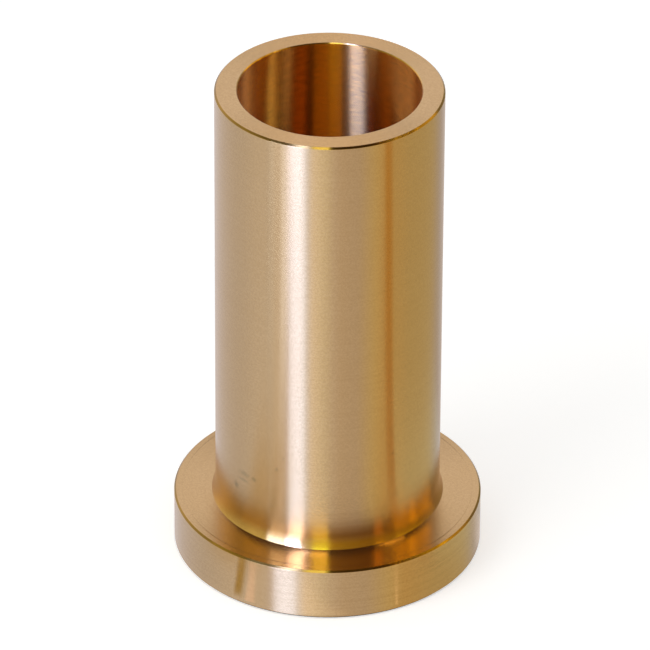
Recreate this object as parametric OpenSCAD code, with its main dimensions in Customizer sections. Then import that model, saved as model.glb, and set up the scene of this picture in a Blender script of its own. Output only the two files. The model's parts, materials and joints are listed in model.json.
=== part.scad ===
// Flanged bushing, turned from one piece of bronze bar.
// It stands on its flange: the bore's axis is Z, and Z = 0 is the flange's outer face.

/* [Bore] */
// Diameter of the bore, a running fit on its shaft
bore_d = 40; // [20:0.5:46]

/* [Sleeve] */
// Outside diameter of the sleeve, a press fit in its housing
sleeve_od = 50; // [44:0.5:60]
// Length of the whole bushing, flange included
overall_l = 115; // [40:1:200]

/* [Flange] */
// Diameter of the flange
flange_od = 68.5; // [62:0.5:110]
// Thickness of the flange
flange_t = 12.5; // [3:0.5:25]

/* [Edges] */
// Radius of the hollow curve by which the sleeve swells just above the flange
root_r = 6; // [3:0.5:10]
// How far the sleeve has swollen where it meets the flange's face, in a sharp corner
root_flare = 0.8; // [0.1:0.05:1.5]
// Chamfer round the outside of the sleeve's free end
sleeve_edge = 0.4; // [0.1:0.05:2]
// Chamfer of the bore at the sleeve's free end
mouth_edge = 0.25; // [0.1:0.05:1.5]
// Chamfer of the bore at the flange's outer face
base_mouth_edge = 0.5; // [0.1:0.05:1.5]
// Chamfer of the flange on the sleeve's side
shoulder_edge = 0.4; // [0.1:0.05:1]
// Chamfer of the flange on its outer face
base_edge = 0.5; // [0.1:0.05:1]

/* [Hidden] */
$fn = 180;

bore_r = bore_d / 2;
sleeve_r = sleeve_od / 2;
flange_r = flange_od / 2;
wall = sleeve_r - bore_r;

// The shoulder is the ring of the flange's face that the housing bears on.
shoulder_w = flange_r - sleeve_r;
shank_l = overall_l - flange_t;

// Each edge keeps to less than half of the wall that it is cut from.
edge_share = 0.45;
free_edge = min(sleeve_edge, edge_share * wall);
free_mouth = min(mouth_edge, edge_share * wall);
base_mouth = min(base_mouth_edge, edge_share * min(wall, flange_t));
rim_top = min(shoulder_edge, edge_share * min(shoulder_w, flange_t));
rim_base = min(base_edge, edge_share * flange_t);
flare = min(root_flare, edge_share * (shoulder_w - rim_top), edge_share * root_r);
// The curve leaves the sleeve's wall this far above the flange's face.
root_h = min(sqrt(flare * (2 * root_r - flare)), shank_l - free_edge);

// Half section of the sleeve, from the base to the free end.
module sleeve_section() {
    polygon([
        [bore_r + base_mouth, 0],
        [sleeve_r, 0],
        [sleeve_r, overall_l - free_edge],
        [sleeve_r - free_edge, overall_l],
        [bore_r + free_mouth, overall_l],
        [bore_r, overall_l - free_mouth],
        [bore_r, base_mouth],
    ]);
}

// Half section of the flange, which the sleeve runs through.
module flange_section() {
    inner_r = bore_r + wall / 2;
    polygon([
        [inner_r, 0],
        [flange_r - rim_base, 0],
        [flange_r, rim_base],
        [flange_r, flange_t - rim_top],
        [flange_r - rim_top, flange_t],
        [inner_r, flange_t],
    ]);
}

// Half section of the root: the tool's round nose ran down the wall and stopped at the flange's face,
// which was faced flat afterwards, so that the curve meets it in a sharp corner.
module root_section() {
    difference() {
        translate([sleeve_r - wall / 2, flange_t / 2])
            square([wall / 2 + 2 * flare, root_h + flange_t / 2]);
        translate([sleeve_r + root_r, flange_t + root_h])
            circle(r = root_r);
    }
}

// The whole bushing, turned about its bore.
module bushing() {
    color("#c6a273")
        rotate_extrude()
            union() {
                sleeve_section();
                flange_section();
                root_section();
            }
}

bushing();
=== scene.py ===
"""The looks of a flanged bushing turned from bronze, standing on its flange on a white table."""

import json
import math

import bpy
from mathutils import Matrix, Vector


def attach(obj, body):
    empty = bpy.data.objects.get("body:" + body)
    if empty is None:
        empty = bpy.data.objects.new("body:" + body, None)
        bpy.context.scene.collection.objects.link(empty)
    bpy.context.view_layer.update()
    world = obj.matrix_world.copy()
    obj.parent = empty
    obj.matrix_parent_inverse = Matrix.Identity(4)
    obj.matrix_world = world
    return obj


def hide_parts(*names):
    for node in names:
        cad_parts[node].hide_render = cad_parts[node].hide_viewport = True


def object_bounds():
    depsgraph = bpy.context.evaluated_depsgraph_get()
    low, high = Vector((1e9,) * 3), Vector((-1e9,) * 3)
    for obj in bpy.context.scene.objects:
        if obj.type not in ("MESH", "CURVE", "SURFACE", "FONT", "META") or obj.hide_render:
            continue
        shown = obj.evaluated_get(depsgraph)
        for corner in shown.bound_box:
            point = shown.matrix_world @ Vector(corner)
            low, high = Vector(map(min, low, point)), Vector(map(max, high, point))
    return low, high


MM = 0.001

# The sockets of a colour Mix node: its two colours, and what comes out.
FIRST = 6
SECOND = 7
MIXED = 2

# The camera, fitted to the photograph's outlines. Azimuths run from the camera's side, -Y, towards +X.
AIM = Vector((-0.75, 0.0, 54.9)) * MM
CAMERA_DISTANCE = 1571 * MM
CAMERA_ELEVATION = 32.1
CAMERA_ROLL = 0.32
LENS = 394.9
SENSOR = 36.0
NEAREST = 0.1
FARTHEST = 20.0

# Edge breaks and root, in millimetres, as the source has them.
SLEEVE_EDGE = 0.4
MOUTH_EDGE = 0.25
BASE_MOUTH_EDGE = 0.5
SHOULDER_EDGE = 0.4
BASE_EDGE = 0.5
ROOT_RADIUS = 6.0
ROOT_FLARE = 0.8

# What deburring and facing left, in millimetres: the rounding of the edges and of the sharp corners, and the
# facing tool's ring on the flange's face, a groove too shallow to change a size.
BURR_RADIUS = 0.07
NICK_RADIUS = 0.02
RING_RADIUS = 32.4
RING_DEPTH = 0.03
RING_HALF = 0.15

# How finely the piece is turned: steps round it, and along a curve whose radius is large or small.
SEGMENTS = 288
LARGE_RADIUS = 0.7
LARGE_STEPS = 20
SMALL_STEPS = 3

# The metal's colours, as sRGB hex values.
BRONZE = "#d9b483"
BRONZE_WARM = "#d7b07c"
# Painted shade: the bore's deeper, more saturated bronze stands for the shade of the repeated reflections
# inside it.
BORE_SHADED_BRONZE = "#d2964c"
RING_SHADE = "#a87f4c"
# Painted shade on the edge breaks, for the dark reflections that they show.
EDGE_PAINTED_SHADE = "#a27f48"
SCUFF_GREY = "#8a7a58"

# The feed marks, in millimetres: their pitch, the length over which one changes, and their height. The real
# pitch of about 0.15 mm is too fine to show, so they are drawn three times as coarse.
FEED_PITCH = 0.45
FEED_LENGTH = 40.0
FEED_HEIGHT = 0.02
FEED_STRENGTH = 0.5

# How much of the shade the deeper marks take: a little everywhere, and more on the flange's rim. The rim is
# what lies within RIM_BAND millimetres of the flange's radius.
FEED_SHADED = (0.4, 0.7)
RING_SHARE = 0.035
RIM_SHARE = 0.08
RIM_BAND = 0.75

# The cloudy warmth of the metal, the speckle of its crystals, which are drawn coarser than they are, and the
# mottle of the reamed bore: sizes in millimetres, the noise that is shaded, and the share of the shade.
CLOUD_SIZE = 16.7
SPECKLE_SIZE = 0.435
SPECKLE_SHADED = (0.35, 0.65)
SPECKLE_SHARE = 0.16
MOTTLE_SIZE = (2.0, 2.0, 0.526)
MOTTLE_SHADED = (0.35, 0.7)
MOTTLE_SHARE = 0.5
BORE_MARGIN = 0.1

# The edge breaks are painted darker than the faces, a painted shade for the dark room that they reflect.
# They are known by their slope, which is about 45 degrees.
EDGE_SLOPE = math.cos(math.radians(45))
EDGE_SLOPE_SPAN = 0.17

# How rough the metal is outside and in the bore, and how far a feed mark adds to it. The marks run round the
# axis, so the reflections are stretched across them, as far as the shader goes.
OUTSIDE_ROUGHNESS = 0.19
BORE_ROUGHNESS = 0.24
FEED_ROUGHNESS = 0.03
STRETCH = 1.0
ACROSS_THE_MARKS = 0.25

# Scuffs and pits on the sleeve: azimuth in degrees, then height, half length and half height in millimetres,
# and how strongly they cover the bright metal. Their edges are frayed by a noise.
MARKS = [
    (-47.3, 26.7, 2.0, 0.9, 0.3),
    (-47.6, 25.0, 1.9, 0.45, 0.3),
    (-53.6, 22.6, 0.9, 1.0, 0.5),
    (-40.4, 26.6, 0.8, 0.75, 0.42),
    (-22.8, 34.7, 0.3, 0.25, 0.7),
    (-26.6, 31.4, 0.28, 0.3, 0.6),
    (34.7, 34.7, 0.35, 0.25, 0.7),
]
FRAY_SIZE = 0.667
FRAY = 1.4
SCUFF_FADE = (2.0, 0.8)

# The room's colours, as the metal mirrors them.
PALE_WALL = "#f8f8ff"
COOL_PAPER = "#e0e8ff"
SKY = "#bdd0ff"
WINDOW_BLUE = "#a9c1ff"
CREAM = "#fff8cc"
STRAW = "#fff8b0"
WARM_PAPER = "#ffeab0"
LEMON = "#fff658"
GOLD = "#ffd94a"
AMBER = "#ffca3c"
CEILING = "#44301c"

# The table round the bushing, by azimuth in degrees, with the light on it: cool daylight at the left and
# behind, a strip in front that the tall window lights, and warm lamplight at the right.
TABLE_TONES = [
    (-180, PALE_WALL, 0.95),
    (-135, COOL_PAPER, 0.95),
    (-105, COOL_PAPER, 0.9),
    (-66, COOL_PAPER, 1.05),
    (-60, COOL_PAPER, 0.85),
    (-54, PALE_WALL, 0.75),
    (-41, COOL_PAPER, 0.85),
    (-39, WINDOW_BLUE, 3.35),
    (-25, WINDOW_BLUE, 3.6),
    (-22, SKY, 1.9),
    (-17, COOL_PAPER, 1.4),
    (-3, COOL_PAPER, 1.05),
    (13, PALE_WALL, 0.75),
    (30, PALE_WALL, 0.7),
    (48, CREAM, 0.75),
    (60, WARM_PAPER, 0.7),
    (90, CREAM, 0.6),
    (125, CREAM, 0.6),
    (145, PALE_WALL, 0.55),
    (180, PALE_WALL, 0.95),
]

# The room's walls in the same way: pale behind, straw-coloured at the left, lemon yellow in front and amber
# at the right.
ROOM_TONES = [
    (-180, PALE_WALL, 0.95),
    (-150, PALE_WALL, 0.85),
    (-130, CREAM, 1.1),
    (-110, STRAW, 0.75),
    (-85, STRAW, 0.6),
    (-72, STRAW, 0.75),
    (-60, STRAW, 0.6),
    (-40, CREAM, 0.9),
    (-24, CREAM, 0.9),
    (-18, STRAW, 0.7),
    (-10, LEMON, 1.0),
    (-2, LEMON, 1.1),
    (5, GOLD, 0.5),
    (15, GOLD, 0.4),
    (42, AMBER, 0.3),
    (60, AMBER, 0.35),
    (95, AMBER, 0.25),
    (120, WARM_PAPER, 0.35),
    (145, CREAM, 0.5),
    (163, PALE_WALL, 0.85),
    (180, PALE_WALL, 0.95),
]

# The elevations between which the table passes into the walls, and the walls into the ceiling.
HORIZON = (-20, -6)
CEILING_EDGE = (36, 50)

# The even light of the room on all that isn't metal, and the white that camera rays see.
ROOM_LIGHT = 0.6
WHITE = (1, 1, 1, 1)

# The table's paper, and the painted shadow in the gap between it and the flange's outer face: paper painted
# dark brown from a radius in millimetres, which only the metal sees.
# The table reaches 4 m to each side.
TABLE_WHITE = "#e8e8e6"
PAINTED_GAP_SHADOW = "#4a3418"
PAINTED_SHADOW_RADIUS = 21.0
PAPER_GLOW = 0.5
TABLE_HALF = 4.0

# The soft light that only the paper takes up: azimuth and elevation, distance and size in metres, radiance.
KEY_FROM = (-50, 48)
KEY_DISTANCE = 0.9
KEY_SIZE = 0.5
KEY_RADIANCE = 2.5

# The windows and lamps round the table: azimuths and elevations from and to, distance in metres, colour and
# radiance. Those at 20 to 40 degrees show on the flange's face by way of the sleeve's wall, and the higher
# ones on the edges.
WINDOWS = [
    ("tall_window", (-39.5, -25.0), (1, 67), 0.6, "#9cb2ff", 14.5),
    ("side_window", (-57.0, -41.0), (1, 32), 0.6, "#b4cdff", 5.4),
    ("gold_lamp", (-22.0, 0.0), (48, 68), 0.8, "#f8ffb8", 4.0),
    ("gold_front", (-14.0, 1.0), (20, 40), 0.8, "#ccff00", 1.3),
    ("gold_left", (-94.0, -60.0), (26, 36), 0.8, "#ffee20", 0.7),
    ("amber_right", (48.0, 57.0), (25, 37), 0.8, "#ffb800", 1.6),
    ("gold_right", (70.0, 126.0), (25, 37), 0.8, "#ffd800", 1.6),
    ("gold_streak", (92.0, 99.0), (25, 37), 0.8, "#ffe040", 1.6),
    ("back_lamp", (-188.0, -168.0), (44, 60), 0.8, "#ffe0a0", 0.9),
    ("glint_right", (83.0, 89.0), (50, 66), 0.8, "#ffe878", 4.0),
    ("glint_far", (99.0, 107.0), (50, 66), 0.8, "#ffe878", 5.0),
]

# The light that falls into the bore, as lamps close to its wall: azimuths and heights in millimetres from
# and to, colour and radiance. The first gives the bright streak and the others the bands beside it.
BORE_LAMPS = [
    ("bore_streak", (-70.0, -32.0), (66, 106), "#7896ff", 7.0),
    ("bore_amber", (-22.0, 2.0), (58, 102), "#ffb800", 0.38),
    ("bore_brown", (-6.0, 40.0), (58, 102), "#ffab00", 0.34),
    ("bore_dark", (36.0, 80.0), (58, 102), "#ff8800", 0.24),
    ("bore_left", (110.0, 121.0), (62, 102), "#f0ffd0", 1.1),
    ("bore_shade", (-150.0, -84.0), (58, 108), "#ffc060", 0.1),
    ("bore_right", (-184.0, -160.0), (84, 108), "#fff4d8", 0.5),
]
BORE_LAMP_GAP = 0.5

# Painted light and painted shade that lie on the table beside the bushing and show only in the metal: a glow
# is painted light, and a tint is painted shade. Corners in millimetres from the bore's axis, the share of
# the width and of the length that fades, tint, glow and its level.
NO_TINT = "#ffffff"
NO_GLOW = "#000000"
CARDS = [
    ("window_light", ((-72, -74), (-62, -84), (-260, -325), (-303, -282)), (0.06, 0.14),
     NO_TINT, "#aac5ff", 1.1),
    # Painted shade: an amber band on the paper to the front right.
    ("amber_shade_band", ((30, -31), (37, -20), (260, -132), (236, -180)), (0.35, 0.1),
     "#eec674", NO_GLOW, 0.0),
    # Painted shade: the amber band's deeper near end by the flange.
    ("amber_shade_foot", ((30, -31), (37, -20), (112, -58), (104, -76)), (0.35, 0.4),
     "#d89c38", NO_GLOW, 0.0),
    # Painted shade close to the foot at the left, warm as a painted reflection of the bronze on the paper.
    ("warm_shade_left", ((-18, -46), (-50, -6), (-76, -28), (-42, -76)), (0.35, 0.4),
     "#ecd094", NO_GLOW, 0.0),
    # Painted shade: an olive wedge on the paper beside the flange's rim at the left.
    ("olive_shade_left", ((-18.3, -28.9), (-21.3, -26.8), (-44.2, -36.8), (-39.8, -42.4)), (0.35, 0.15),
     "#d6bc70", NO_GLOW, 0.0),
    ("rim_lift", ((-9, -33), (34, 6), (58, 14), (-22, -62)), (0.12, 0.3),
     NO_TINT, "#fff4f0", 0.11),
    ("pale_line", ((15.1, -30.8), (15.8, -30.4), (33.5, -43.5), (32.6, -44.2)), (0.3, 0.05),
     NO_TINT, "#fff0e8", 0.3),
    ("pink_strip", ((-18.8, -28.6), (-15.6, -30.5), (-31.9, -42.1), (-34.9, -39.1)), (0.3, 0.05),
     NO_TINT, "#ffcdc5", 0.28),
    ("right_lift", ((22, -28), (22, 34), (88, 70), (88, -80)), (0.25, 0.5),
     NO_TINT, "#b4f0ff", 0.16),
]
CARD_HEIGHT = 1.0


def linear(text):
    """The linear colour of an sRGB hex value."""
    parts = [int(text[i:i + 2], 16) / 255 for i in (1, 3, 5)]
    return [c / 12.92 if c <= 0.04045 else ((c + 0.055) / 1.055) ** 2.4 for c in parts] + [1.0]


def add(tree, kind, inputs=None, **settings):
    """Adds a node with its settings, and fills its inputs with values or with other nodes' outputs."""
    node = tree.nodes.new(kind)
    for name, value in settings.items():
        setattr(node, name, value)
    for socket, value in (inputs or {}).items():
        if isinstance(value, bpy.types.NodeSocket):
            tree.links.new(value, node.inputs[socket])
        else:
            node.inputs[socket].default_value = value
    return node


def sizes(record, low, high):
    """The bushing's main sizes in metres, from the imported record's mounts and the frame's box."""
    mounts = {m["name"]: m for m in record["mounts"]}
    return {
        "bore": mounts["bore"]["dims"]["r_mm"] * MM,
        "sleeve": mounts["sleeve"]["dims"]["r_mm"] * MM,
        "flange": high.x,
        "flange_t": mounts["flange_shoulder"]["pos_m"][2],
        "length": high.z - low.z,
    }


def section(size):
    """The half section's corners, counterclockwise from the bore's lower end, each with its rounding."""
    burr = BURR_RADIUS * MM
    nick = NICK_RADIUS * MM
    flare = ROOT_FLARE * MM
    ring = RING_RADIUS * MM
    half = RING_HALF * MM
    edge = {
        "sleeve": SLEEVE_EDGE * MM,
        "mouth": MOUTH_EDGE * MM,
        "base_mouth": BASE_MOUTH_EDGE * MM,
        "shoulder": SHOULDER_EDGE * MM,
        "base": BASE_EDGE * MM,
    }
    # The root's curve starts along the wall and ends on the face, tilted outwards by this angle.
    tilt = math.acos(1 - ROOT_FLARE / ROOT_RADIUS)
    bend = (flare / math.sin(tilt) - nick) / math.tan(tilt / 2)
    return [
        (size["bore"] + edge["base_mouth"], 0.0, burr),
        (size["flange"] - edge["base"], 0.0, burr),
        (size["flange"], edge["base"], burr),
        (size["flange"], size["flange_t"] - edge["shoulder"], burr),
        (size["flange"] - edge["shoulder"], size["flange_t"], burr),
        (ring + half, size["flange_t"], nick),
        (ring, size["flange_t"] - RING_DEPTH * MM, nick),
        (ring - half, size["flange_t"], nick),
        (size["sleeve"] + flare, size["flange_t"], nick),
        (size["sleeve"], size["flange_t"] + flare / math.tan(tilt), bend),
        (size["sleeve"], size["length"] - edge["sleeve"], burr),
        (size["sleeve"] - edge["sleeve"], size["length"], burr),
        (size["bore"] + edge["mouth"], size["length"], burr),
        (size["bore"], size["length"] - edge["mouth"], burr),
        (size["bore"], edge["base_mouth"], burr),
    ]


def rounded(corners):
    """The closed outline with each corner rounded: a list of points and outward normals, ready to turn."""
    outline = []
    count = len(corners)
    for i, (r, z, radius) in enumerate(corners):
        here = Vector((r, z))
        before = (Vector(corners[i - 1][:2]) - here).normalized()
        after = (Vector(corners[(i + 1) % count][:2]) - here).normalized()
        half = before.angle(after) / 2
        inward = (before + after).normalized()
        centre = here + inward * radius / math.sin(half)
        outward = 1 if before.x * after.y - before.y * after.x < 0 else -1
        start = here + before * radius / math.tan(half) - centre
        stop = here + after * radius / math.tan(half) - centre
        turn = start.angle_signed(stop)
        steps = LARGE_STEPS if radius > LARGE_RADIUS * MM else SMALL_STEPS
        for k in range(steps + 1):
            arm = Matrix.Rotation(-turn * k / steps, 2) @ start
            outline.append((centre + arm, arm.normalized() * outward))
    return outline


def turned_piece(name, outline, material):
    """Turns an outline about Z into a closed mesh, whose map's V runs across the feed marks."""
    rings = len(outline)
    verts = []
    normals = []
    for point, normal in outline:
        for k in range(SEGMENTS):
            a = math.tau * k / SEGMENTS
            verts.append((point.x * math.cos(a), point.x * math.sin(a), point.y))
            normals.append((normal.x * math.cos(a), normal.x * math.sin(a), normal.y))
    along = [0.0]
    for i in range(rings):
        along.append(along[-1] + (outline[(i + 1) % rings][0] - outline[i][0]).length)
    faces = []
    spots = []
    for i in range(rings):
        j = (i + 1) % rings
        for k in range(SEGMENTS):
            n = (k + 1) % SEGMENTS
            faces.append((i * SEGMENTS + k, i * SEGMENTS + n, j * SEGMENTS + n, j * SEGMENTS + k))
            left = k / SEGMENTS
            right = (k + 1) / SEGMENTS
            spots += [(left, along[i]), (right, along[i]), (right, along[i + 1]), (left, along[i + 1])]
    mesh = bpy.data.meshes.new(name)
    mesh.from_pydata(verts, [], faces)
    mesh.uv_layers.new(name="turning").data.foreach_set("uv", [x for spot in spots for x in spot])
    mesh.polygons.foreach_set("use_smooth", [True] * len(faces))
    mesh.normals_split_custom_set_from_vertices(normals)
    mesh.materials.append(material)
    piece = bpy.data.objects.new(name, mesh)
    bpy.context.scene.collection.objects.link(piece)
    return piece


def azimuth_of(tree, xyz):
    """The azimuth of a place or a direction, in radians, from its parts."""
    back = add(tree, "ShaderNodeMath", {0: xyz.outputs["Y"], 1: -1.0}, operation="MULTIPLY")
    angle = add(tree, "ShaderNodeMath", {0: xyz.outputs["X"], 1: back.outputs[0]}, operation="ARCTAN2")
    return angle.outputs[0]


def scuff_share(tree, place, xyz, sleeve):
    """How far the scuffs and pits of the sleeve, which have ragged edges, cover the metal."""
    angle = azimuth_of(tree, xyz)
    ragged = add(tree, "ShaderNodeTexNoise", {
        "Vector": place.outputs["Object"],
        "Scale": 1 / (FRAY_SIZE * MM),
        "Detail": 3.0,
    })
    total = None
    for azimuth, height, half_length, half_height, strength in MARKS:
        lengths = sleeve / (half_length * MM)
        aside = add(tree, "ShaderNodeMath", {0: angle, 1: lengths, 2: -math.radians(azimuth) * lengths},
                    operation="MULTIPLY_ADD")
        above = add(tree, "ShaderNodeMath", {
            0: xyz.outputs["Z"],
            1: 1 / (half_height * MM),
            2: -height / half_height,
        }, operation="MULTIPLY_ADD")
        offset = add(tree, "ShaderNodeCombineXYZ", {0: aside.outputs[0], 1: above.outputs[0]})
        far = add(tree, "ShaderNodeVectorMath", {0: offset.outputs[0]}, operation="LENGTH")
        frayed = add(tree, "ShaderNodeMath", {0: ragged.outputs["Fac"], 1: FRAY, 2: far.outputs["Value"]},
                     operation="MULTIPLY_ADD")
        share = add(tree, "ShaderNodeMapRange", {
            "Value": frayed.outputs[0],
            "From Min": SCUFF_FADE[0],
            "From Max": SCUFF_FADE[1],
            "To Max": strength,
        }, interpolation_type="SMOOTHSTEP").outputs[0]
        if total is None:
            total = share
        else:
            total = add(tree, "ShaderNodeMath", {0: total, 1: share}, operation="MAXIMUM").outputs[0]
    return total


def feed_marks(tree, xyz):
    """Noise in thin rings round the axis, which stands for how deep each mark of the lathe's tool is."""
    across = add(tree, "ShaderNodeSeparateXYZ", {
        0: add(tree, "ShaderNodeUVMap", uv_map="turning").outputs["UV"],
    })
    fine = add(tree, "ShaderNodeMath", {0: across.outputs["Y"], 1: 1 / (FEED_PITCH * MM)},
               operation="MULTIPLY")
    long = 1 / (FEED_LENGTH * MM)
    east = add(tree, "ShaderNodeMath", {0: xyz.outputs["X"], 1: long}, operation="MULTIPLY")
    north = add(tree, "ShaderNodeMath", {0: xyz.outputs["Y"], 1: long}, operation="MULTIPLY")
    grain = add(tree, "ShaderNodeCombineXYZ", {0: east.outputs[0], 1: north.outputs[0], 2: fine.outputs[0]})
    noise = add(tree, "ShaderNodeTexNoise", {"Vector": grain.outputs[0], "Scale": 1.0, "Detail": 2.0})
    return noise.outputs["Fac"]


def shade_share(tree, place, feed, in_bore, on_rim):
    """How much of the shade the feed marks, the speckle and the bore's mottle mix in."""
    depth = add(tree, "ShaderNodeMath", {0: on_rim, 1: RIM_SHARE, 2: RING_SHARE}, operation="MULTIPLY_ADD")
    ringed = add(tree, "ShaderNodeMapRange", {
        "Value": feed,
        "From Min": FEED_SHADED[0],
        "From Max": FEED_SHADED[1],
    })
    rings = add(tree, "ShaderNodeMath", {0: ringed.outputs[0], 1: depth.outputs[0]}, operation="MULTIPLY")
    speckle = add(tree, "ShaderNodeTexNoise", {
        "Vector": place.outputs["Object"],
        "Scale": 1 / (SPECKLE_SIZE * MM),
        "Detail": 1.0,
    })
    speckled = add(tree, "ShaderNodeMapRange", {
        "Value": speckle.outputs["Fac"],
        "From Min": SPECKLE_SHADED[0],
        "From Max": SPECKLE_SHADED[1],
        "To Max": SPECKLE_SHARE,
    })
    cells = add(tree, "ShaderNodeVectorMath", {
        0: place.outputs["Object"],
        1: [1 / (size * MM) for size in MOTTLE_SIZE],
    }, operation="MULTIPLY")
    mottle = add(tree, "ShaderNodeTexNoise", {"Vector": cells.outputs[0], "Scale": 1.0, "Detail": 2.0})
    mottled = add(tree, "ShaderNodeMapRange", {
        "Value": mottle.outputs["Fac"],
        "From Min": MOTTLE_SHADED[0],
        "From Max": MOTTLE_SHADED[1],
        "To Max": MOTTLE_SHARE,
    })
    reamed = add(tree, "ShaderNodeMath", {0: mottled.outputs[0], 1: in_bore}, operation="MULTIPLY")
    fine = add(tree, "ShaderNodeMath", {0: rings.outputs[0], 1: speckled.outputs[0]}, operation="ADD")
    every = add(tree, "ShaderNodeMath", {0: fine.outputs[0], 1: reamed.outputs[0]}, operation="ADD")
    return every.outputs[0]


def edge_shade_share(tree, place, radius, wall_middle):
    """Where the edge breaks take their painted shade: 1 on the edge breaks outside the bore's mouth, and 0
    elsewhere.
    """
    facing = add(tree, "ShaderNodeSeparateXYZ", {0: place.outputs["Normal"]})
    slope = add(tree, "ShaderNodeMath", {0: facing.outputs["Z"]}, operation="ABSOLUTE")
    on_edge = add(tree, "ShaderNodeMath", {0: slope.outputs[0], 1: EDGE_SLOPE, 2: EDGE_SLOPE_SPAN},
                  operation="COMPARE")
    outer = add(tree, "ShaderNodeMath", {0: radius, 1: wall_middle}, operation="GREATER_THAN")
    painted_edge_shade = add(tree, "ShaderNodeMath", {0: on_edge.outputs[0], 1: outer.outputs[0]}, operation="MULTIPLY")
    return painted_edge_shade.outputs[0]


def turned_bronze(size):
    """Tin bronze, finish-turned: bare warm metal whose feed marks stretch every reflection across them."""
    material = bpy.data.materials.new("turned_bronze")
    material.use_nodes = True
    tree = material.node_tree
    tree.nodes.clear()
    place = add(tree, "ShaderNodeTexCoord")
    xyz = add(tree, "ShaderNodeSeparateXYZ", {0: place.outputs["Object"]})
    flat = add(tree, "ShaderNodeVectorMath", {0: place.outputs["Object"], 1: (1, 1, 0)},
               operation="MULTIPLY")
    radius = add(tree, "ShaderNodeVectorMath", {0: flat.outputs[0]}, operation="LENGTH").outputs["Value"]
    in_bore = add(tree, "ShaderNodeMath", {0: radius, 1: size["bore"] + BORE_MARGIN * MM},
                  operation="LESS_THAN").outputs[0]
    on_rim = add(tree, "ShaderNodeMath", {0: radius, 1: size["flange"] - RIM_BAND * MM},
                 operation="GREATER_THAN").outputs[0]
    feed = feed_marks(tree, xyz)

    cloud = add(tree, "ShaderNodeTexNoise", {
        "Vector": place.outputs["Object"],
        "Scale": 1 / (CLOUD_SIZE * MM),
        "Detail": 3.0,
    })
    outside = add(tree, "ShaderNodeMix", {
        0: cloud.outputs["Fac"],
        FIRST: linear(BRONZE),
        SECOND: linear(BRONZE_WARM),
    }, data_type="RGBA")
    # Painted shade in the bore: its bronze is deeper and more saturated than outside.
    bare = add(tree, "ShaderNodeMix", {
        0: in_bore,
        FIRST: outside.outputs[MIXED],
        SECOND: linear(BORE_SHADED_BRONZE),
    }, data_type="RGBA")
    shaded = add(tree, "ShaderNodeMix", {
        0: shade_share(tree, place, feed, in_bore, on_rim),
        FIRST: bare.outputs[MIXED],
        SECOND: linear(RING_SHADE),
    }, data_type="RGBA")
    # Painted shade: the edge breaks are darkened.
    edge_shaded = add(tree, "ShaderNodeMix", {
        0: edge_shade_share(tree, place, radius, (size["bore"] + size["sleeve"]) / 2),
        FIRST: shaded.outputs[MIXED],
        SECOND: linear(EDGE_PAINTED_SHADE),
    }, data_type="RGBA")
    colour = add(tree, "ShaderNodeMix", {
        0: scuff_share(tree, place, xyz, size["sleeve"]),
        FIRST: edge_shaded.outputs[MIXED],
        SECOND: linear(SCUFF_GREY),
    }, data_type="RGBA")

    smooth = add(tree, "ShaderNodeMapRange", {
        "Value": in_bore,
        "To Min": OUTSIDE_ROUGHNESS,
        "To Max": BORE_ROUGHNESS,
    })
    rough = add(tree, "ShaderNodeMath", {0: feed, 1: FEED_ROUGHNESS, 2: smooth.outputs[0]},
                operation="MULTIPLY_ADD")
    bump = add(tree, "ShaderNodeBump", {
        "Height": feed,
        "Strength": FEED_STRENGTH,
        "Distance": FEED_HEIGHT * MM,
    })
    tangent = add(tree, "ShaderNodeTangent", direction_type="RADIAL", axis="Z")
    metal = add(tree, "ShaderNodeBsdfPrincipled", {
        "Base Color": colour.outputs[MIXED],
        "Metallic": 1.0,
        "Roughness": rough.outputs[0],
        "Anisotropic": STRETCH,
        "Anisotropic Rotation": ACROSS_THE_MARKS,
        "Tangent": tangent.outputs[0],
        "Normal": bump.outputs[0],
    })
    add(tree, "ShaderNodeOutputMaterial", {"Surface": metal.outputs[0]})
    return material


def by_azimuth(tree, xyz, tones):
    """The tone in the direction of a vector's parts, from a list of tones by azimuth."""
    share = add(tree, "ShaderNodeMapRange", {
        "Value": azimuth_of(tree, xyz),
        "From Min": -math.pi,
        "From Max": math.pi,
    })
    ramp = add(tree, "ShaderNodeValToRGB", {0: share.outputs[0]})
    stops = ramp.color_ramp.elements
    stops.remove(stops[0])
    for i, (azimuth, colour, level) in enumerate(tones):
        spot = (azimuth + 180) / 360
        stop = stops[0] if i == 0 else stops.new(spot)
        stop.position = spot
        stop.color = [c * level for c in linear(colour)]
    return ramp.outputs[0]


def seen_by_mirrors(tree, path):
    """1 for the rays that metal and glass send out, and 0 for all others."""
    either = add(tree, "ShaderNodeMath", {
        0: path.outputs["Is Glossy Ray"],
        1: path.outputs["Is Transmission Ray"],
    }, operation="ADD", use_clamp=True)
    return either.outputs[0]


def steepness(elevation):
    """The upward part of a direction at an elevation in degrees."""
    return math.sin(math.radians(elevation))


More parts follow.
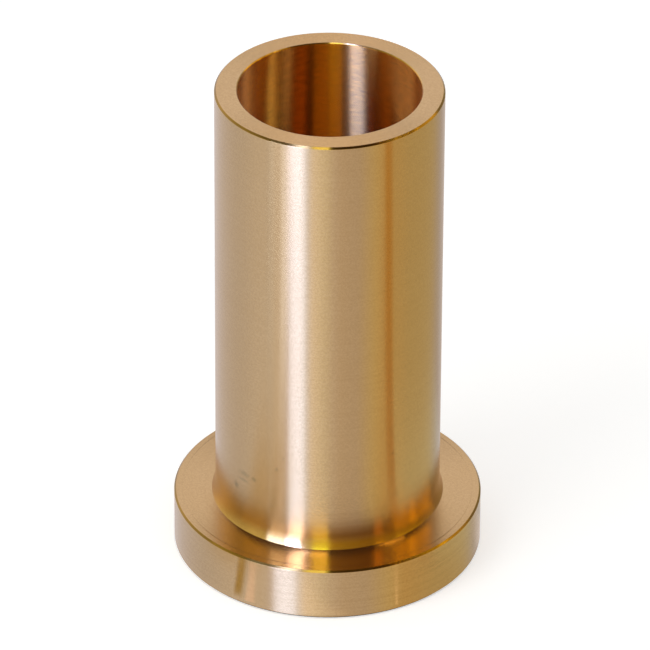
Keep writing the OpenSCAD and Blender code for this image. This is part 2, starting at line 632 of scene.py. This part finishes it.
def studio_world():
    """A white room: plain white to the camera, the room's tones to the metal, and an even soft light."""
    world = bpy.data.worlds.new("studio")
    bpy.context.scene.world = world
    world.use_nodes = True
    tree = world.node_tree
    tree.nodes.clear()
    place = add(tree, "ShaderNodeTexCoord")
    xyz = add(tree, "ShaderNodeSeparateXYZ", {0: place.outputs["Generated"]})
    wall = add(tree, "ShaderNodeMapRange", {
        "Value": xyz.outputs["Z"],
        "From Min": steepness(HORIZON[0]),
        "From Max": steepness(HORIZON[1]),
    })
    ceiling = add(tree, "ShaderNodeMapRange", {
        "Value": xyz.outputs["Z"],
        "From Min": steepness(CEILING_EDGE[0]),
        "From Max": steepness(CEILING_EDGE[1]),
    })
    sides = add(tree, "ShaderNodeMix", {
        0: wall.outputs[0],
        FIRST: by_azimuth(tree, xyz, TABLE_TONES),
        SECOND: by_azimuth(tree, xyz, ROOM_TONES),
    }, data_type="RGBA")
    tones = add(tree, "ShaderNodeMix", {
        0: ceiling.outputs[0],
        FIRST: sides.outputs[MIXED],
        SECOND: linear(CEILING),
    }, data_type="RGBA")
    path = add(tree, "ShaderNodeLightPath")
    soft = add(tree, "ShaderNodeBackground", {0: WHITE, 1: ROOM_LIGHT})
    mirrored = add(tree, "ShaderNodeBackground", {0: tones.outputs[MIXED], 1: 1.0})
    white = add(tree, "ShaderNodeBackground", {0: WHITE, 1: 1.0})
    lit = add(tree, "ShaderNodeMixShader", {
        0: seen_by_mirrors(tree, path),
        1: soft.outputs[0],
        2: mirrored.outputs[0],
    })
    shown = add(tree, "ShaderNodeMixShader", {
        0: path.outputs["Is Camera Ray"],
        1: lit.outputs[0],
        2: white.outputs[0],
    })
    add(tree, "ShaderNodeOutputWorld", {0: shown.outputs[0]})


def white_paper(under):
    """Plain white paper, matt, which keeps the bushing's soft shadow; the metal mirrors the tones instead.

    Only under the flange, and through the bore, does the metal mirror the paper itself; under the flange the
    paper is painted dark brown, a painted shadow.
    """
    material = bpy.data.materials.new("white_paper")
    material.use_nodes = True
    tree = material.node_tree
    tree.nodes.clear()
    path = add(tree, "ShaderNodeLightPath")
    mirrors = seen_by_mirrors(tree, path)
    place = add(tree, "ShaderNodeTexCoord")
    from_axis = add(tree, "ShaderNodeVectorMath", {0: place.outputs["Object"]}, operation="LENGTH")
    radius = from_axis.outputs["Value"]
    off_bore = add(tree, "ShaderNodeMath", {0: radius, 1: PAINTED_SHADOW_RADIUS * MM}, operation="GREATER_THAN")
    in_painted_shadow = add(tree, "ShaderNodeMath", {0: off_bore.outputs[0], 1: mirrors}, operation="MULTIPLY")
    # Painted shadow: to the metal, the paper under the flange is dark brown.
    shade = add(tree, "ShaderNodeMix", {
        0: in_painted_shadow.outputs[0],
        FIRST: linear(TABLE_WHITE),
        SECOND: linear(PAINTED_GAP_SHADOW),
    }, data_type="RGBA")
    paper = add(tree, "ShaderNodeBsdfDiffuse", {0: shade.outputs[MIXED]})
    glow = add(tree, "ShaderNodeEmission", {0: WHITE, 1: PAPER_GLOW})
    bright = add(tree, "ShaderNodeAddShader", {0: paper.outputs[0], 1: glow.outputs[0]})
    to_camera = add(tree, "ShaderNodeMixShader", {
        0: path.outputs["Is Camera Ray"],
        1: paper.outputs[0],
        2: bright.outputs[0],
    })
    away = add(tree, "ShaderNodeBsdfTransparent")
    beside = add(tree, "ShaderNodeMath", {0: radius, 1: under}, operation="GREATER_THAN")
    see_through = add(tree, "ShaderNodeMath", {0: mirrors, 1: beside.outputs[0]}, operation="MULTIPLY")
    shown = add(tree, "ShaderNodeMixShader", {
        0: see_through.outputs[0],
        1: to_camera.outputs[0],
        2: away.outputs[0],
    })
    add(tree, "ShaderNodeOutputMaterial", {0: shown.outputs[0]})
    return material


def flat_stage(name, corners, material):
    """A flat sheet of the stage between four corners, which isn't part of the bushing."""
    mesh = bpy.data.meshes.new(name)
    mesh.from_pydata(corners, [], [(0, 1, 2, 3)])
    mesh.uv_layers.new(name="sheet").data.foreach_set("uv", (0, 0, 1, 0, 1, 1, 0, 1))
    mesh.materials.append(material)
    sheet = bpy.data.objects.new(name, mesh)
    bpy.context.scene.collection.objects.link(sheet)
    return sheet


def table_top(under):
    """The table, covered with paper."""
    square = [(-1, -1), (1, -1), (1, 1), (-1, 1)]
    flat_stage("table_top", [(x * TABLE_HALF, y * TABLE_HALF, 0) for x, y in square], white_paper(under))


def mirrored_light(name, fades, tint, glow, level):
    """A tint, which is painted shade, and a glow, which is painted light, that only the metal mirrors, and
    that fade at the sheet's edges.
    """
    material = bpy.data.materials.new(name)
    material.use_nodes = True
    tree = material.node_tree
    tree.nodes.clear()
    where = add(tree, "ShaderNodeSeparateXYZ", {
        0: add(tree, "ShaderNodeUVMap", uv_map="sheet").outputs["UV"],
    })
    shares = []
    for axis, fade in zip("XY", fades):
        off = add(tree, "ShaderNodeMath", {0: where.outputs[axis], 1: 0.5}, operation="SUBTRACT")
        far = add(tree, "ShaderNodeMath", {0: off.outputs[0]}, operation="ABSOLUTE")
        shares.append(add(tree, "ShaderNodeMapRange", {
            "Value": far.outputs[0],
            "From Min": 0.5,
            "From Max": 0.5 - fade,
        }, interpolation_type="SMOOTHSTEP"))
    share = add(tree, "ShaderNodeMath", {0: shares[0].outputs[0], 1: shares[1].outputs[0]},
                operation="MULTIPLY")
    mirrors = seen_by_mirrors(tree, add(tree, "ShaderNodeLightPath"))
    amount = add(tree, "ShaderNodeMath", {0: share.outputs[0], 1: mirrors}, operation="MULTIPLY")
    through = add(tree, "ShaderNodeMix", {0: amount.outputs[0], FIRST: WHITE, SECOND: linear(tint)},
                  data_type="RGBA")
    strength = add(tree, "ShaderNodeMath", {0: amount.outputs[0], 1: level}, operation="MULTIPLY")
    clear = add(tree, "ShaderNodeBsdfTransparent", {0: through.outputs[MIXED]})
    light = add(tree, "ShaderNodeEmission", {0: linear(glow), 1: strength.outputs[0]})
    both = add(tree, "ShaderNodeAddShader", {0: clear.outputs[0], 1: light.outputs[0]})
    add(tree, "ShaderNodeOutputMaterial", {0: both.outputs[0]})
    return material


def card(name, corners, fades, tint, glow, level):
    """Painted light or painted shade on something flat just above the table, which shows only in the metal.
    """
    places = [Vector((x, y, CARD_HEIGHT)) * MM for x, y in corners]
    sheet = flat_stage(name, places, mirrored_light(name, fades, tint, glow, level))
    sheet.visible_camera = False
    sheet.visible_shadow = False


def lamp_at(name, lamp, place, outward):
    """Puts a lamp at a place, with its back to the outward direction, where the camera doesn't see it."""
    box = bpy.data.objects.new(name, lamp)
    box.location = place
    box.rotation_mode = "QUATERNION"
    box.rotation_quaternion = outward.to_track_quat("Z", "Y")
    box.visible_camera = False
    bpy.context.scene.collection.objects.link(box)
    return box


def window(name, azimuths, heights, distance, colour, radiance):
    """A window or lamp that stands upright, faces the bushing's axis and lights only the metal."""
    middle = math.radians(sum(azimuths) / 2)
    half = math.radians(azimuths[1] - azimuths[0]) / 2
    low, high = heights
    lamp = bpy.data.lights.new(name, "AREA")
    lamp.shape = "RECTANGLE"
    lamp.size = 2 * distance * math.tan(half)
    lamp.size_y = high - low
    lamp.color = linear(colour)[:3]
    lamp.energy = radiance * math.pi * lamp.size * lamp.size_y
    outward = Vector((math.sin(middle), -math.cos(middle), 0))
    box = lamp_at(name, lamp, outward * distance + Vector((0, 0, (low + high) / 2)), outward)
    box.visible_diffuse = False


def soft_key():
    """The plain soft light from the left that gives the bushing its shadow on the paper."""
    lamp = bpy.data.lights.new("soft_key", "AREA")
    lamp.shape = "DISK"
    lamp.size = KEY_SIZE
    lamp.energy = KEY_RADIANCE * math.pi * math.pi * KEY_SIZE ** 2 / 4
    azimuth, elevation = (math.radians(v) for v in KEY_FROM)
    level = math.cos(elevation)
    outward = Vector((math.sin(azimuth) * level, -math.cos(azimuth) * level, math.sin(elevation)))
    box = lamp_at("soft_key", lamp, outward * KEY_DISTANCE, outward)
    box.visible_glossy = False


def photographer():
    """The camera, at the photograph's angle."""
    elevation = math.radians(CAMERA_ELEVATION)
    outward = Vector((0, -math.cos(elevation), math.sin(elevation)))
    data = bpy.data.cameras.new("camera")
    data.lens = LENS
    data.sensor_width = SENSOR
    data.clip_start = NEAREST
    data.clip_end = FARTHEST
    camera = bpy.data.objects.new("camera", data)
    camera.location = AIM + outward * CAMERA_DISTANCE
    camera.rotation_mode = "QUATERNION"
    turn = Matrix.Rotation(math.radians(CAMERA_ROLL), 4, "Z").to_quaternion()
    camera.rotation_quaternion = outward.to_track_quat("Z", "Y") @ turn
    bpy.context.scene.collection.objects.link(camera)
    bpy.context.scene.camera = camera


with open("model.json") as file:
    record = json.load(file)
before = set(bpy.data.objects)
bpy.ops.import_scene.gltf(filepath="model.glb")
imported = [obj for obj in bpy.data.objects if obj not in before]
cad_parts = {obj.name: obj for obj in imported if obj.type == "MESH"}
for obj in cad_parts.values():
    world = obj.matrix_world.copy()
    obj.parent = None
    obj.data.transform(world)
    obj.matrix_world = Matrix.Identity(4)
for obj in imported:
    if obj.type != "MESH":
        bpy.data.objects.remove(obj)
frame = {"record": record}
cad_low, cad_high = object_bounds()
bushing_sizes = sizes(frame["record"], cad_low, cad_high)
bushing = turned_piece("turned_bushing", rounded(section(bushing_sizes)), turned_bronze(bushing_sizes))
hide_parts("bushing")
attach(bushing, "root")

table_top(bushing_sizes["flange"])
studio_world()
for name, corners, fades, tint, glow, level in CARDS:
    card(name, corners, fades, tint, glow, level)
for name, azimuths, elevations, distance, colour, radiance in WINDOWS:
    heights = [distance * math.tan(math.radians(e)) for e in elevations]
    window(name, azimuths, heights, distance, colour, radiance)
for name, azimuths, heights, colour, radiance in BORE_LAMPS:
    beside_wall = bushing_sizes["bore"] - BORE_LAMP_GAP * MM
    window(name, azimuths, [h * MM for h in heights], beside_wall, colour, radiance)
soft_key()
photographer()
bpy.context.scene.view_settings.view_transform = "Standard"
